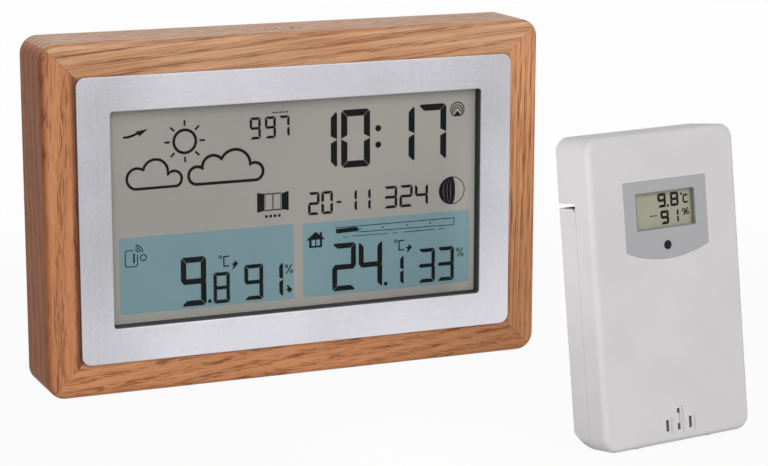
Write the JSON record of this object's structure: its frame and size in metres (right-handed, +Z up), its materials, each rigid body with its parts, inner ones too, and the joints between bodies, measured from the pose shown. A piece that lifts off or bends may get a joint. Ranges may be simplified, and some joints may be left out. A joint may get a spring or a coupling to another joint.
{
  "type": "weather station",
  "caption": "Table weather station with a segment display and aluminium bezel in a mitred oak frame, with its separate outdoor sensor on a fold-out stand.",
  "frame": {"origin": "middle of the underside of the station's oak frame, on the table", "axes": "+X to the right as seen from the front, along the station's width; +Y from the display towards the back; +Z up. The sensor stands in front of the right end and leans back."},
  "size_m": [0.2127, 0.1675, 0.129],
  "materials": {
    "oak": "oiled oak",
    "bezel_metal": "satin brushed",
    "black_plastic": "fine moulded texture",
    "grey_plastic": "satin",
    "white_plastic": "satin moulded",
    "panel_grey": "painted silver grey",
    "clear_window": "clear acrylic",
    "display_glass": "matt polariser over segment display",
    "guide_plastic": "milky light guide",
    "board": "solder mask",
    "chip": "moulded",
    "steel": "plated",
    "brass": "rolled",
    "rubber": "striped elastomer",
    "ferrite": "sintered",
    "winding": "lacquered wire",
    "wire": "insulated",
    "cell_wrap": "printed wrap with no lettering",
    "lamp": "dark lens"
  },
  "bodies": {
    "station": {"frame_top_rail": "oak", "frame_bottom_rail": "oak", "frame_left_stile": "oak", "frame_right_stile": "oak", "bezel": "bezel_metal", "front_housing": "black_plastic", "display_window": "clear_window", "lcd_panel": "display_glass", "light_guide": "guide_plastic", "lcd_holder": "grey_plastic", "lcd_connectors": "rubber", "main_board": "board", "board_chips": "chip", "board_screws": "steel", "touch_plate": "brass", "ferrite_rod": "ferrite", "antenna_coil": "winding", "hookup_wires": "wire", "rear_cover": "black_plastic", "cover_screws": "steel", "batteries": "cell_wrap", "battery_contacts": "steel", "key_board": "board", "key_switches": "chip", "key_board_screws": "steel", "sounder": "brass", "room_sensor": "board"},
    "door": {"battery_door": "black_plastic"},
    "set_button": {"button_set": "grey_plastic"},
    "up_button": {"button_up": "grey_plastic"},
    "down_button": {"button_down": "grey_plastic"},
    "alarm_button": {"button_alarm": "grey_plastic"},
    "channel_button": {"button_channel": "grey_plastic"},
    "history_button": {"button_history": "grey_plastic"},
    "sensor": {"sensor_front_housing": "white_plastic", "sensor_display_panel": "panel_grey", "sensor_window": "clear_window", "sensor_lcd": "display_glass", "sensor_lcd_connector": "rubber", "sensor_board": "board", "sensor_controls": "chip", "sensor_lamp": "lamp", "sensor_antenna": "winding", "sensor_probe": "board", "sensor_back_housing": "white_plastic", "sensor_screws": "steel", "sensor_batteries": "cell_wrap", "sensor_contacts": "steel"},
    "sensor_cover": {"sensor_battery_cover": "white_plastic", "sensor_stand_pin": "steel"},
    "stand": {"sensor_stand": "white_plastic"},
    "send_button": {"sensor_send_button": "grey_plastic"},
    "channel_slider": {"sensor_channel_switch": "black_plastic"}
  },
  "joints": [
    {"name": "battery_door_hinge", "type": "hinge", "parent": "station", "child": "door", "pos_m": [0, 0.0126, 0.03011], "axis": [-1, 0, 0], "range_deg": [0, 90]},
    {"name": "set_button_press", "type": "slide", "parent": "station", "child": "set_button", "axis": [0, -1, 0], "range_m": [0, 0.0008], "stiffness_N_per_m": 400},
    {"name": "up_button_press", "type": "slide", "parent": "station", "child": "up_button", "axis": [0, -1, 0], "range_m": [0, 0.0008], "stiffness_N_per_m": 400},
    {"name": "down_button_press", "type": "slide", "parent": "station", "child": "down_button", "axis": [0, -1, 0], "range_m": [0, 0.0008], "stiffness_N_per_m": 400},
    {"name": "alarm_button_press", "type": "slide", "parent": "station", "child": "alarm_button", "axis": [0, -1, 0], "range_m": [0, 0.0008], "stiffness_N_per_m": 400},
    {"name": "channel_button_press", "type": "slide", "parent": "station", "child": "channel_button", "axis": [0, -1, 0], "range_m": [0, 0.0008], "stiffness_N_per_m": 400},
    {"name": "history_button_press", "type": "slide", "parent": "station", "child": "history_button", "axis": [0, -1, 0], "range_m": [0, 0.0008], "stiffness_N_per_m": 400},
    {"name": "sensor_move", "type": "slide", "parent": "station", "child": "sensor", "axis": [1, 0, 0], "range_m": [0, 0.1]},
    {"name": "sensor_cover_slide", "type": "slide", "parent": "sensor", "child": "sensor_cover", "axis": [-0.1564, 0.9877, 0], "range_m": [0, 0.03]},
    {"name": "stand_hinge", "type": "hinge", "parent": "sensor_cover", "child": "stand", "pos_m": [0.08191, -0.12585, 0.04065], "axis": [0.9877, 0.1564, 0], "range_deg": [-24, 0]},
    {"name": "send_button_press", "type": "slide", "parent": "sensor", "child": "send_button", "axis": [0.1549, -0.9781, 0.1392], "range_m": [0, 0.0006], "stiffness_N_per_m": 300},
    {"name": "channel_slide", "type": "slide", "parent": "sensor", "child": "channel_slider", "axis": [0.9877, 0.1564, 0], "range_m": [0, 0.004]}
  ]
}
